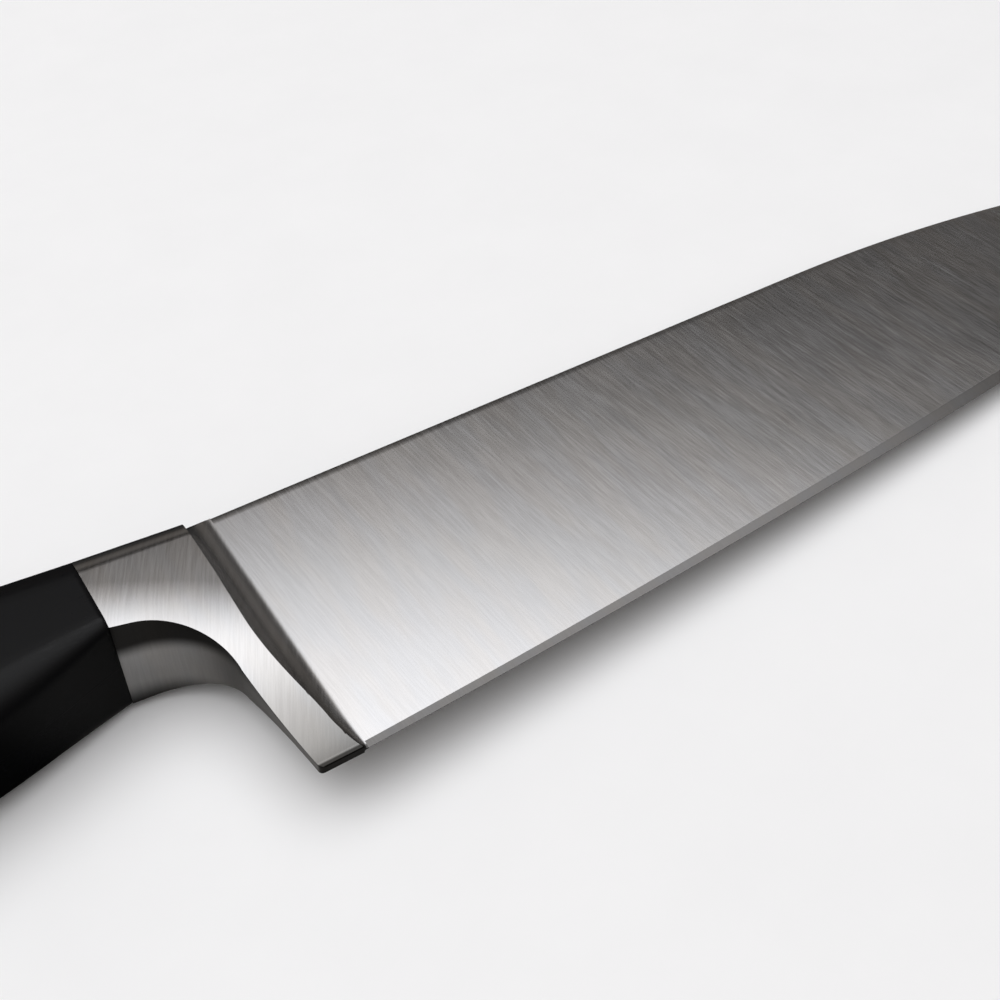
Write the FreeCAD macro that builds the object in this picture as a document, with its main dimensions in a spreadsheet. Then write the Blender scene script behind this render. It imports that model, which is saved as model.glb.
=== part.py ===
import FreeCAD, Part

import math
import os

import Sketcher
from FreeCAD import Placement, Rotation, Vector

# Forged cook's knife lying on its side. The frame is in millimetres: the origin is on the
# blade's mid-plane where the line of the spine meets the bolster, +X runs to the tip,
# +Y to the spine side and +Z out of the right-hand face of the blade.

# alias, value or formula, meaning
SIZES = [
    ("joint_x", "2.7", "plane where the blade is welded to the bolster"),
    ("tip_x", "203", "tip of the blade"),
    ("tip_drop", "17.5", "tip below the line of the spine"),
    ("spine_straight_x", "107", "end of the straight part of the spine"),
    ("spine_radius", "=((tip_x-spine_straight_x)^2+tip_drop^2)/(2*tip_drop)", "drop to the tip"),
    ("heel_depth", "45.1", "edge below the spine at the heel"),
    ("belly_x", "115", "where the edge starts to curve up"),
    ("belly_depth", "37.9", "edge below the spine at the belly"),
    ("edge_radius", "1800", "long curve of the edge from heel to belly"),
    ("edge_chord", "=hypot(belly_x-joint_x; heel_depth-belly_depth)", "heel to belly"),
    ("belly_slope", "=atan((heel_depth-belly_depth)/(belly_x-joint_x))/1deg"
                    "+asin(edge_chord/(2*edge_radius))/1deg", "edge direction at the belly"),
    ("tip_radius", "=((tip_x-belly_x)^2+(belly_depth-tip_drop)^2)/(2*(cos(belly_slope*1deg)"
                   "*(belly_depth-tip_drop)-sin(belly_slope*1deg)*(tip_x-belly_x)))",
     "curve of the edge from belly to tip"),
    ("heel_slope", "=2*atan((heel_depth-belly_depth)/(belly_x-joint_x))/1deg-belly_slope",
     "edge direction at the heel"),
    ("tip_slope", "=2*atan((belly_depth-tip_drop)/(tip_x-belly_x))/1deg-belly_slope",
     "edge direction at the tip"),
    ("spine_thickness", "3.0", "blade at the spine, near the bolster"),
    ("edge_thickness", "0.5", "blade behind the sharpened strip, at the heel"),
    ("face_slope", "=(spine_thickness-edge_thickness)/(2*heel_depth)", "taper of each face"),
    ("thinning_x", "100", "where the blade starts to get thinner towards the tip"),
    ("thinning_radius", "5500", "long curve of that thinning"),
    ("bevel_angle", "15", "sharpened strip, each side, degrees"),
    ("edge_land", "0.06", "flat left at the very edge"),
    ("bevel_reach", "5", "how far the sharpening cutter stands over the edge"),
    ("bolster_half", "8.0", "half thickness of the bolster"),
    ("seam_x", "-17.0", "plane where bolster and handle meet"),
    ("seam_top", "-0.9", "top of bolster and handle at the seam"),
    ("bolster_front_top", "-2.75", "top of the bolster carried on to the joint plane"),
    ("neck_x", "-4.5", "where the spine fades into the bolster"),
    ("neck_run", "3.5", "length of that slope"),
    ("neck_depth", "4.6", "how deep the spine's root sits in the bolster"),
    ("neck_spread", "5.0", "half thickness of the spine's root at that depth"),
    ("crown_radius", "6.1", "rounded top of bolster and handle"),
    ("foot_x", "-3.6", "rear corner of the foot"),
    ("foot_corner", "0.8", "rounding of that corner"),
    ("leg_x", "-5.3", "rear of the leg where it starts to curve"),
    ("bow_radius", "11.05", "curve between the leg and the underside"),
    ("bow_depth", "28.4", "centre of that curve below the spine"),
    ("bow_angle", "10.2", "slope of the underside at the handle, degrees"),
    ("seam_bottom", "=-bow_depth+bow_radius*cos(bow_angle*1deg)+tan(bow_angle*1deg)"
                    "*(leg_x-bow_radius+bow_radius*sin(bow_angle*1deg)-seam_x)",
     "underside of bolster and handle at the seam"),
    ("dome_depth", "8", "where the sides stop being flat"),
    ("dome_radius", "120", "slight outward curve of the sides"),
    ("shoulder_depth", "14.8", "where the sides start to close in on the leg"),
    ("shoulder_radius", "5.8", "outward curve of the shoulder"),
    ("shoulder_angle", "28.5", "steepest slope of the side, degrees"),
    ("leg_radius", "53", "long hollow of the leg's side"),
    ("below_foot", "1.5", "how far cutters run past the foot"),
    ("root_radius", "4.7", "hollow from the bolster's front to the blade"),
    ("root_split_depth", "39.8", "depth where that hollow starts to get smaller"),
    ("root_past_foot", "0.4", "how far the cutter of that hollow runs past the foot"),
    ("foot_root_radius", "0.25", "the same hollow at the cutter's end"),
    ("root_end_top", "2.6", "where the hollow runs out on the blade side"),
    ("root_end_foot", "2.7", "the same at the foot"),
    ("front_draft", "10", "lean of the bolster's front, degrees"),
    ("cutter_top", "10", "how high cutters stand over the mid-plane"),
    ("tang_thickness", "3.0", "flat tang"),
    ("tang_front_top", "-5.0", "upper side of the tang at the bolster"),
    ("tang_height", "8.5", "tang at the bolster"),
    ("tang_seat", "3", "depth of the tang in the bolster"),
    ("tang_rear_x", "-105", "centre of the tang's round end"),
    ("tang_rear_y", "-12", "the same"),
    ("tang_rear_radius", "3.5", "round end of the tang"),
    ("key_hole_radius", "2.5", "holes the handle core flows through"),
    ("key_hole_x", "-36", "first hole"),
    ("key_hole_y", "-10.8", "line of the holes"),
    ("key_hole_pitch", "24", "between holes"),
    ("key_hole_count", "3", "holes"),
    ("grip_skin", "2.2", "thickness of the outer moulding"),
    ("least_corner", "0.5", "smallest corner radius of the core"),
    ("core_end_x", "-121", "rear end of the core"),
    ("butt_rounding", "5.0", "rounding of the handle's end"),
    ("key_ring_x", "-38", "first ring groove in the core"),
    ("key_ring_width", "5", "width of a ring groove"),
    ("key_ring_pitch", "20", "between ring grooves"),
    ("key_ring_count", "4", "ring grooves"),
    ("key_ring_top", "-4.0", "upper side of the core inside the grooves"),
    ("key_ring_bottom", "-17.8", "lower side of the core inside the grooves"),
    ("key_ring_half", "4.4", "half thickness of the core inside the grooves"),
    ("key_ring_cutter", "40", "reach of the ring cutter, clear of the handle"),
]

# Handle sections: name, x, top, bottom, half thickness, lower corner radius.
HANDLE_SECTIONS = [
    ("front", "=seam_x", "=seam_top", "=seam_bottom", "=bolster_half", "1.6"),
    ("throat", "-23.5", "-0.45", "-19.4", "8.25", "3.2"),
    ("index", "-36.5", "0.3", "-23.5", "8.8", "5.2"),
    ("palm", "-58", "0.5", "-25.6", "9.2", "6.4"),
    ("waist", "-90", "-0.8", "-23.8", "8.4", "6.0"),
    ("flare", "-118", "-3.0", "-26.4", "8.8", "6.0"),
    ("butt", "-131", "-4.8", "-27.2", "8.1", "6.0"),
]
SECTION_FIELDS = ("x", "top", "bottom", "half", "low_radius")


class Size:
    """A length known both as a number and as the sheet expression that drives it."""

    def __init__(self, text, value):
        self.text = text
        self.value = value

    def __neg__(self):
        return Size("-(%s)" % self.text, -self.value)

    def __add__(self, other):
        return Size("(%s + %s)" % (self.text, other.text), self.value + other.value)

    def __sub__(self, other):
        return Size("(%s - %s)" % (self.text, other.text), self.value - other.value)

    def __mul__(self, other):
        return Size("(%s * %s)" % (self.text, other.text), self.value * other.value)

    def __truediv__(self, other):
        return Size("(%s / %s)" % (self.text, other.text), self.value / other.value)


def number(value):
    return Size(repr(float(value)), float(value))


def sine(angle):
    return Size("sin(%s * 1deg)" % angle.text, math.sin(math.radians(angle.value)))


def cosine(angle):
    return Size("cos(%s * 1deg)" % angle.text, math.cos(math.radians(angle.value)))


def tangent(angle):
    return sine(angle) / cosine(angle)


def root(size):
    return Size("sqrt(%s)" % size.text, math.sqrt(size.value))


ZERO = number(0)
HALF = number(0.5)

doc = FreeCAD.newDocument("cooks_knife")
sheet = doc.addObject("Spreadsheet::Sheet", "Sizes")


def fill_sheet():
    rows = list(SIZES)
    for section in HANDLE_SECTIONS:
        for field, value in zip(SECTION_FIELDS, section[1:]):
            rows.append(("%s_%s" % (section[0], field), value, "handle section"))
    for index, (alias, value, meaning) in enumerate(rows, 1):
        sheet.set("A%d" % index, alias)
        sheet.set("B%d" % index, value)
        sheet.setAlias("B%d" % index, alias)
        sheet.set("C%d" % index, meaning)
    doc.recompute()


def size(alias):
    value = sheet.get(alias)
    return Size("Sizes.%s" % alias, float(getattr(value, "Value", value)))


def new_body(label):
    body = doc.addObject("PartDesign::Body", label)
    body.Label = label
    return body


def origin_part(body, role):
    for feature in body.Origin.OriginFeatures:
        if feature.Role == role:
            return feature
    raise ValueError(role)


def new_sketch(body, name, plane, offset=None):
    """A sketch on an origin plane of its body, moved along the plane's normal by offset."""
    sketch = body.newObject("Sketcher::SketchObject", name)
    sketch.AttachmentSupport = [(origin_part(body, plane), "")]
    sketch.MapMode = "FlatFace"
    if offset is not None:
        sketch.AttachmentOffset = Placement(Vector(0, 0, offset.value), Rotation())
        sketch.setExpression("AttachmentOffset.Base.z", offset.text)
    return sketch


def bind(sketch, index, name, driver):
    sketch.renameConstraint(index, name)
    sketch.setExpression("Constraints.%s" % name, driver.text)


def pin_point(sketch, geometry, end, label, point):
    """Ties one end of a piece of geometry to the sheet, axis by axis."""
    horizontal, vertical = point
    if abs(horizontal.value) < 1e-9:
        sketch.addConstraint(Sketcher.Constraint("PointOnObject", geometry, end, -2))
    else:
        made = sketch.addConstraint(
            Sketcher.Constraint("DistanceX", -1, 1, geometry, end, horizontal.value))
        bind(sketch, made, "x_%s" % label, horizontal)
    if abs(vertical.value) < 1e-9:
        sketch.addConstraint(Sketcher.Constraint("PointOnObject", geometry, end, -1))
    else:
        made = sketch.addConstraint(
            Sketcher.Constraint("DistanceY", -1, 1, geometry, end, vertical.value))
        bind(sketch, made, "y_%s" % label, vertical)


def arc_between(start, end, radius, turn):
    """The short arc from start to end; turn is 1 for a left-hand bend, -1 for a right-hand."""
    chord = end - start
    rise = math.sqrt(max(radius ** 2 - chord.Length ** 2 / 4, 0))
    left = Vector(-chord.y, chord.x, 0).normalize()
    centre = (start + end) / 2 + left * rise * turn
    circle = Part.Circle(centre, Vector(0, 0, 1), radius)
    first, last = (start, end) if turn > 0 else (end, start)
    return Part.ArcOfCircle(circle, circle.parameter(first), circle.parameter(last))


def draw(sketch, points, bends, closed=True):
    """Draws lines and arcs through points. bends maps a stretch to (radius, turn)."""
    count = len(points) if closed else len(points) - 1
    ends = []
    for index in range(count):
        here = points[index]
        there = points[(index + 1) % len(points)]
        start = Vector(here[0].value, here[1].value, 0)
        end = Vector(there[0].value, there[1].value, 0)
        if index in bends:
            radius, turn = bends[index]
            made = sketch.addGeometry(arc_between(start, end, radius.value, turn), False)
            ends.append((1, 2) if turn > 0 else (2, 1))
        else:
            made = sketch.addGeometry(Part.LineSegment(start, end), False)
            ends.append((1, 2))
        if made != index:
            raise RuntimeError("unexpected geometry in %s" % sketch.Name)
    for index in range(count - 1 + int(closed)):
        after = (index + 1) % count
        sketch.addConstraint(Sketcher.Constraint(
            "Coincident", index, ends[index][1], after, ends[after][0]))
    for index in range(count):
        pin_point(sketch, index, ends[index][0], str(index), points[index])
    if not closed:
        pin_point(sketch, count - 1, ends[-1][1], str(count), points[-1])
    for index, (radius, turn) in bends.items():
        made = sketch.addConstraint(Sketcher.Constraint("Radius", index, radius.value))
        bind(sketch, made, "radius_%d" % index, radius)


def pad(body, sketch, name, length, sides="Symmetric"):
    feature = body.newObject("PartDesign::Pad", name)
    feature.Profile = sketch
    feature.SideType = sides
    feature.Length = length.value
    feature.setExpression("Length", length.text)
    finish_feature(body, feature)
    return feature


def pocket_through(body, sketch, name):
    feature = body.newObject("PartDesign::Pocket", name)
    feature.Profile = sketch
    feature.SideType = "Symmetric"
    feature.Type = "ThroughAll"
    finish_feature(body, feature)
    return feature


def mirror(body, originals, name):
    """Repeats cuts on the other side of the blade's mid-plane."""
    feature = body.newObject("PartDesign::Mirrored", name)
    feature.Originals = originals
    feature.MirrorPlane = (origin_part(body, "XY_Plane"), [""])
    finish_feature(body, feature)


def row_of(body, original, name, pitch, count):
    """Repeats a cut along -X."""
    feature = body.newObject("PartDesign::LinearPattern", name)
    feature.Originals = [original]
    feature.Direction = (origin_part(body, "X_Axis"), [""])
    feature.Reversed = True
    span = pitch * (count - number(1))
    feature.Length = span.value
    feature.setExpression("Length", span.text)
    feature.Occurrences = int(count.value)
    feature.setExpression("Occurrences", count.text)
    finish_feature(body, feature)


def fillet(body, base, names, radius, name):
    feature = body.newObject("PartDesign::Fillet", name)
    feature.Base = (base, names)
    feature.Radius = radius.value
    feature.setExpression("Radius", radius.text)
    finish_feature(body, feature)
    return feature


def finish_feature(body, feature):
    before = body.Tip.Shape.Volume if body.Tip is not None and body.Tip != feature else 0
    body.Tip = feature
    doc.recompute()
    if not feature.Shape.isValid() or abs(feature.Shape.Volume - before) < 1e-6:
        raise RuntimeError("%s did nothing to %s" % (feature.Name, body.Label))


def edge_names(shape, wanted):
    """Names of the edges whose middle point passes the test."""
    names = []
    for index, edge in enumerate(shape.Edges, 1):
        middle = edge.valueAt((edge.FirstParameter + edge.LastParameter) / 2)
        if wanted(edge, middle):
            names.append("Edge%d" % index)
    return names


def half_thickness_at(depth):
    """Half the blade's thickness at a depth below the spine, before thinning."""
    return size("spine_thickness") * HALF - size("face_slope") * depth


def face_cut(body, name, start_depth, end_depth):
    """Section of the material ground off one face, from start_depth to end_depth."""
    sketch = new_sketch(body, name + "_section", "YZ_Plane")
    draw(sketch, [
        (-start_depth, half_thickness_at(start_depth)),
        (-end_depth, half_thickness_at(end_depth)),
        (-end_depth, size("cutter_top")),
        (-start_depth, size("cutter_top")),
    ], {})
    return pocket_through(body, sketch, name)


def make_blade():
    """Plate cut to the profile, ground thin to the edge and to the tip, then sharpened."""
    body = new_body("blade")
    profile = new_sketch(body, "blade_profile", "XY_Plane")
    draw(profile, [
        (size("joint_x"), ZERO),
        (size("joint_x"), -size("heel_depth")),
        (size("belly_x"), -size("belly_depth")),
        (size("tip_x"), -size("tip_drop")),
        (size("spine_straight_x"), ZERO),
    ], {1: (size("edge_radius"), 1), 2: (size("tip_radius"), 1), 3: (size("spine_radius"), 1)})
    pad(body, profile, "blade_plate", size("spine_thickness"))
    past_edge = size("heel_depth") + size("below_foot")
    grind = face_cut(body, "face_grind", ZERO, past_edge)

    thinning = new_sketch(body, "thinning_section", "XZ_Plane")
    half = size("spine_thickness") * HALF
    radius = size("thinning_radius")
    run = size("tip_x") + size("below_foot") - size("thinning_x")
    fall = radius - root(radius * radius - run * run)
    draw(thinning, [
        (size("thinning_x"), half),
        (size("thinning_x") + run, half - fall),
        (size("thinning_x") + run, size("cutter_top")),
        (size("thinning_x"), size("cutter_top")),
    ], {0: (radius, -1)})
    thin = pocket_through(body, thinning, "tip_thinning")
    bevel = make_bevel(body)
    mirror(body, [grind, thin, bevel], "left_face")
    return body


def make_bevel(body):
    """The sharpened strip: one slanted cut carried along the edge from heel to tip."""
    lead = size("below_foot")
    heel = (size("joint_x"), -size("heel_depth"))
    tip = (size("tip_x"), -size("tip_drop"))
    path = new_sketch(body, "edge_path", "XY_Plane")
    draw(path, [
        (heel[0] - lead * cosine(size("heel_slope")), heel[1] - lead * sine(size("heel_slope"))),
        heel,
        (size("belly_x"), -size("belly_depth")),
        tip,
        (tip[0] + lead * cosine(size("tip_slope")), tip[1] + lead * sine(size("tip_slope"))),
    ], {1: (size("edge_radius"), 1), 2: (size("tip_radius"), 1)}, closed=False)

    start = size("joint_x") - lead * cosine(size("heel_slope"))
    section = new_sketch(body, "bevel_section", "YZ_Plane", start)
    edge = -size("heel_depth") - lead * sine(size("heel_slope"))
    land = size("edge_land") * HALF
    reach = size("bevel_reach")
    height = land + reach * tangent(size("bevel_angle"))
    draw(section, [
        (edge - lead, land - lead * tangent(size("bevel_angle"))),
        (edge - lead, height),
        (edge + reach, height),
    ], {})
    feature = body.newObject("PartDesign::SubtractivePipe", "edge_bevel")
    feature.Profile = section
    feature.Spine = (path, ["Edge%d" % (i + 1) for i in range(4)])
    feature.Mode = "Fixed"
    feature.Transition = "Transformed"
    finish_feature(body, feature)
    return feature


def make_bolster():
    """Collar, leg and foot between handle and blade, hollowed to flow into the blade."""
    body = new_body("bolster_blank")
    half = size("bolster_half")
    bow_x = size("leg_x") - size("bow_radius")
    underside = (bow_x + size("bow_radius") * sine(size("bow_angle")),
                 size("bow_radius") * cosine(size("bow_angle")) - size("bow_depth"))
    corner = size("foot_corner")
    profile = new_sketch(body, "bolster_profile", "XY_Plane")
    draw(profile, [
        (size("seam_x"), size("seam_top")),
        (size("seam_x"), size("seam_bottom")),
        underside,
        (size("leg_x"), -size("bow_depth")),
        (size("foot_x"), corner - size("heel_depth")),
        (size("foot_x") + corner, -size("heel_depth")),
        (size("joint_x"), -size("heel_depth")),
        (size("joint_x"), size("bolster_front_top")),
    ], {2: (size("bow_radius"), -1), 4: (corner, 1)})
    block = pad(body, profile, "bolster_block", half + half)
    lowest = size("bolster_front_top").value
    top = edge_names(block.Shape, lambda edge, middle: middle.y > lowest
                     and abs(abs(middle.z) - half.value) < 1e-6)
    fillet(body, block, top, size("crown_radius"), "crown")
    make_neck(body)
    sides = make_side_cut(body)
    front = make_front_cut(body)
    mirror(body, [sides, front], "left_side")
    return body


def make_neck(body):
    """The spine's root: a wedge along the top of the bolster with a sloping rear end."""
    top_half = size("spine_thickness") * HALF
    section = new_sketch(body, "neck_section", "YZ_Plane", size("neck_x"))
    draw(section, [
        (-size("neck_depth"), -size("neck_spread")),
        (ZERO, -top_half),
        (ZERO, top_half),
        (-size("neck_depth"), size("neck_spread")),
    ], {})
    pad(body, section, "neck", size("joint_x") - size("neck_x"), "One side")
    clear = size("below_foot")
    slope = new_sketch(body, "neck_slope", "XY_Plane")
    draw(slope, [
        (size("neck_x"), size("bolster_front_top")),
        (size("neck_x") + size("neck_run"), ZERO),
        (size("neck_x") + size("neck_run"), clear),
        (size("neck_x") - clear, clear),
        (size("neck_x") - clear, size("bolster_front_top")),
    ], {})
    pocket_through(body, slope, "neck_slope_cut")


def make_side_cut(body):
    """Material taken off the side: slight dome, rounded shoulder, then the hollow leg."""
    half = size("bolster_half")
    dome = size("dome_radius")
    bend = size("shoulder_radius")
    hollow = size("leg_radius")
    dome_sine = (size("shoulder_depth") - size("dome_depth")) / dome
    dome_cosine = root(number(1) - dome_sine * dome_sine)
    angle = size("shoulder_angle")
    start = (-size("dome_depth"), half)
    shoulder = (-size("shoulder_depth"), half - dome * (number(1) - dome_cosine))
    waist = (shoulder[0] - bend * (sine(angle) - dome_sine),
             shoulder[1] - bend * (dome_cosine - cosine(angle)))
    centre = (waist[0] - hollow * sine(angle), waist[1] + hollow * cosine(angle))
    low = -size("heel_depth") - size("below_foot")
    reach = centre[0] - low
    bottom = (low, centre[1] - root(hollow * hollow - reach * reach))
    sketch = new_sketch(body, "side_section", "YZ_Plane")
    draw(sketch, [
        start,
        shoulder,
        waist,
        bottom,
        (low, size("cutter_top")),
        (start[0], size("cutter_top")),
    ], {0: (dome, 1), 1: (bend, 1), 2: (hollow, -1)})
    return pocket_through(body, sketch, "side_cut")


def front_section(body, name, depth, end_x, radius):
    """One section of the hollow between the bolster's front and the blade's face."""
    floor = half_thickness_at(depth)
    turn = number(90) - size("front_draft")
    wall_foot = (end_x - radius * sine(turn), floor + radius * (number(1) - cosine(turn)))
    wall_top = (wall_foot[0] - (size("cutter_top") - wall_foot[1]) / tangent(turn),
                size("cutter_top"))
    clear = size("joint_x") + size("below_foot")
    sketch = new_sketch(body, name, "XZ_Plane", depth)
    draw(sketch, [
        (clear, floor),
        (clear, size("cutter_top")),
        wall_top,
        wall_foot,
        (end_x, floor),
    ], {3: (radius, 1)})
    return sketch


def make_front_cut(body):
    over = -size("below_foot")
    low = size("heel_depth") + size("root_past_foot")
    top = front_section(body, "front_top", over, size("root_end_top"), size("root_radius"))
    middle = front_section(body, "front_middle", size("root_split_depth"),
                           size("root_end_top"), size("root_radius"))
    bottom = front_section(body, "front_foot", low, size("root_end_foot"),
                           size("foot_root_radius"))
    return cut_loft(body, "front_cut", [top, middle, bottom])


def cut_loft(body, name, sections):
    """Cuts away the straight-sided body between the sections."""
    feature = body.newObject("PartDesign::SubtractiveLoft", name)
    feature.Profile = sections[0]
    feature.Sections = sections[1:]
    feature.Ruled = True
    finish_feature(body, feature)
    return feature


def make_tang():
    """Flat bar with a round end and a row of holes."""
    body = new_body("tang")
    front = size("seam_x") + size("tang_seat")
    radius = size("tang_rear_radius")
    profile = new_sketch(body, "tang_profile", "XY_Plane")
    draw(profile, [
        (front, size("tang_front_top")),
        (size("tang_rear_x"), size("tang_rear_y") + radius),
        (size("tang_rear_x") - radius, size("tang_rear_y")),
        (size("tang_rear_x"), size("tang_rear_y") - radius),
        (front, size("tang_front_top") - size("tang_height")),
    ], {1: (radius, 1), 2: (radius, 1)})
    pad(body, profile, "tang_bar", size("tang_thickness"))
    hole = new_sketch(body, "key_hole", "XY_Plane")
    centre = Vector(size("key_hole_x").value, size("key_hole_y").value, 0)
    circle = Part.Circle(centre, Vector(0, 0, 1), size("key_hole_radius").value)
    hole.addGeometry(circle, False)
    pin_point(hole, 0, 3, "centre", (size("key_hole_x"), size("key_hole_y")))
    made = hole.addConstraint(Sketcher.Constraint("Radius", 0, circle.Radius))
    bind(hole, made, "radius", size("key_hole_radius"))
    cut = pocket_through(body, hole, "key_hole_cut")
    row_of(body, cut, "key_hole_row", size("key_hole_pitch"), size("key_hole_count"))
    return body


def round_section(body, name, x, top, bottom, half, top_radius, low_radius):
    """Cross-section of the handle: a rectangle with two radii."""
    sketch = new_sketch(body, name, "YZ_Plane", x)
    draw(sketch, [
        (top, top_radius - half),
        (top, half - top_radius),
        (top - top_radius, half),
        (bottom + low_radius, half),
        (bottom, half - low_radius),
        (bottom, low_radius - half),
        (bottom + low_radius, -half),
        (top - top_radius, -half),
    ], {1: (top_radius, 1), 3: (low_radius, 1), 5: (low_radius, 1), 7: (top_radius, 1)})
    return sketch


def loft(body, name, sections):
    feature = body.newObject("PartDesign::AdditiveLoft", name)
    feature.Profile = sections[0]
    feature.Sections = sections[1:]
    finish_feature(body, feature)
    return feature


def handle_sections(body, inset, end_x=None):
    """The handle's sections made smaller all round by inset; end_x replaces the last x."""
    sections = []
    for index, row in enumerate(HANDLE_SECTIONS):
        field = {key: size("%s_%s" % (row[0], key)) for key in SECTION_FIELDS}
        last = index == len(HANDLE_SECTIONS) - 1
        x = end_x if last and end_x is not None else field["x"]
        low = field["low_radius"] - inset
        if low.value < size("least_corner").value:
            low = size("least_corner")
        sections.append(round_section(
            body, "%s_section_%d" % (body.Label, index), x, field["top"] - inset,
            field["bottom"] + inset, field["half"] - inset, size("crown_radius") - inset, low))
    return sections


def make_grip_blank():
    """Outside of the whole handle."""
    body = new_body("grip_blank")
    swell = loft(body, "grip_swell", handle_sections(body, ZERO))
    butt_x = size("butt_x").value
    loop = edge_names(swell.Shape, lambda edge, middle: abs(middle.x - butt_x) < 1e-3)
    fillet(body, swell, loop, size("butt_rounding"), "butt_edge")
    return body


def make_core_blank():
    """Inside of the handle with ring grooves that key it to the outer moulding."""
    body = new_body("core_blank")
    loft(body, "core_swell", handle_sections(body, size("grip_skin"), size("core_end_x")))
    ring = new_sketch(body, "ring_section", "YZ_Plane", size("key_ring_x"))
    reach = size("key_ring_cutter")
    draw(ring, [
        (reach, -reach),
        (reach, reach),
        (-reach, reach),
        (-reach, -reach),
    ], {})
    add_island(ring)
    cut = body.newObject("PartDesign::Pocket", "ring_cut")
    cut.Profile = ring
    cut.SideType = "One side"
    cut.Type = "Length"
    cut.Length = size("key_ring_width").value
    cut.setExpression("Length", size("key_ring_width").text)
    finish_feature(body, cut)
    row_of(body, cut, "ring_row", size("key_ring_pitch"), size("key_ring_count"))
    return body


def add_island(sketch):
    """The part of the core that a ring groove leaves standing."""
    top = size("key_ring_top")
    bottom = size("key_ring_bottom")
    half = size("key_ring_half")
    corners = [(top, -half), (top, half), (bottom, half), (bottom, -half)]
    first = sketch.GeometryCount
    for index in range(4):
        here = corners[index]
        there = corners[(index + 1) % 4]
        sketch.addGeometry(Part.LineSegment(
            Vector(here[0].value, here[1].value, 0), Vector(there[0].value, there[1].value, 0)),
            False)
    for index in range(4):
        after = first + (index + 1) % 4
        sketch.addConstraint(Sketcher.Constraint("Coincident", first + index, 2, after, 1))
        pin_point(sketch, first + index, 1, "island_%d" % index, corners[index])


def cut_out(label, base, tool):
    """base with the room for tool taken out of it."""
    piece = doc.addObject("Part::Cut", label)
    piece.Label = label
    piece.Base = base
    piece.Tool = tool
    doc.recompute()
    return piece


def export(pieces):
    for item in doc.Objects:
        if "Invalid" in item.State or "Error" in item.State:
            raise RuntimeError("%s is %s" % (item.Name, item.State))
    os.makedirs("parts", exist_ok=True)
    for piece in pieces:
        shape = piece.Shape
        if shape.isNull() or not shape.isValid() or len(shape.Solids) != 1:
            raise RuntimeError("%s is not one valid solid" % piece.Label)
        shape.exportStep("parts/%s.step" % piece.Label)
        box = shape.BoundBox
        print("%-12s %9.1f mm3  x %.2f..%.2f  y %.2f..%.2f  z %.2f..%.2f" % (
            piece.Label, shape.Volume, box.XMin, box.XMax, box.YMin, box.YMax,
            box.ZMin, box.ZMax))


fill_sheet()
blade = make_blade()
bolster_blank = make_bolster()
tang = make_tang()
grip_blank = make_grip_blank()
core_blank = make_core_blank()
bolster = cut_out("bolster", bolster_blank, tang)
handle_core = cut_out("handle_core", core_blank, tang)
handle_grip = cut_out("handle_grip", grip_blank, core_blank)
export([blade, bolster, tang, handle_core, handle_grip])
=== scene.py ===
import math

import bpy
from mathutils import Matrix, Vector


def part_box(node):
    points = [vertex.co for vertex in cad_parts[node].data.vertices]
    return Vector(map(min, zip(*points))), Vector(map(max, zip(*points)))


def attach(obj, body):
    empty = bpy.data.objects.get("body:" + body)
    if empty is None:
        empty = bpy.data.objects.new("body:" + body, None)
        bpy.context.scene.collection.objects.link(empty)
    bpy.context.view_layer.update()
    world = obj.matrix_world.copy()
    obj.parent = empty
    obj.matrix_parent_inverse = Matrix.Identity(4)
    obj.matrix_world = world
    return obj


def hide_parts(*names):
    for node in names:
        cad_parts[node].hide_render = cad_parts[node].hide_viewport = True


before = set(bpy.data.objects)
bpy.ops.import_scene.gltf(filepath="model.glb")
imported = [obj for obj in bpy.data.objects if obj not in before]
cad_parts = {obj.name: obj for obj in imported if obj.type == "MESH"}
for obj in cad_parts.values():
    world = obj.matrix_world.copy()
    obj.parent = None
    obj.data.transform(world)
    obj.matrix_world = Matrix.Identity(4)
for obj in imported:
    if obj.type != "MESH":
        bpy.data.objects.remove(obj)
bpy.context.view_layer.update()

# ---------------------------------------------------------------- sizes, in millimetres
# The row frame: origin on the spine at the bolster, +X to the tip, +Y out of the spine,
# +Z out of the blade's right-hand face. The sizes are those of the CAD source; what can be
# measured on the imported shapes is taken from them.
MM = 0.001


def corners(node):
    """Lowest and highest corner of a CAD piece."""
    low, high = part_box(node)
    return low / MM, high / MM


BLADE_LOW, BLADE_HIGH = corners("blade")
GRIP_LOW, GRIP_HIGH = corners("handle_grip")

JOINT_X = BLADE_LOW.x
TIP_X = BLADE_HIGH.x
HEEL_DEPTH = -BLADE_LOW.y
SPINE_HALF = BLADE_HIGH.z
SEAM_X = GRIP_HIGH.x
BUTT_X = GRIP_LOW.x
BOLSTER_HALF = corners("bolster")[1].z

TIP_DROP = 17.5
SPINE_STRAIGHT_X = 107.0
SPINE_RADIUS = ((TIP_X - SPINE_STRAIGHT_X) ** 2 + TIP_DROP ** 2) / (2 * TIP_DROP)
BELLY_X = 115.0
BELLY_DEPTH = 37.9
EDGE_RADIUS = 1800.0
EDGE_HALF = 0.25
FACE_SLOPE = (SPINE_HALF - EDGE_HALF) / HEEL_DEPTH
THINNING_X = 100.0
THINNING_RADIUS = 5500.0
BEVEL_SLOPE = math.tan(math.radians(15.0))
EDGE_LAND_HALF = 0.03

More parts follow.
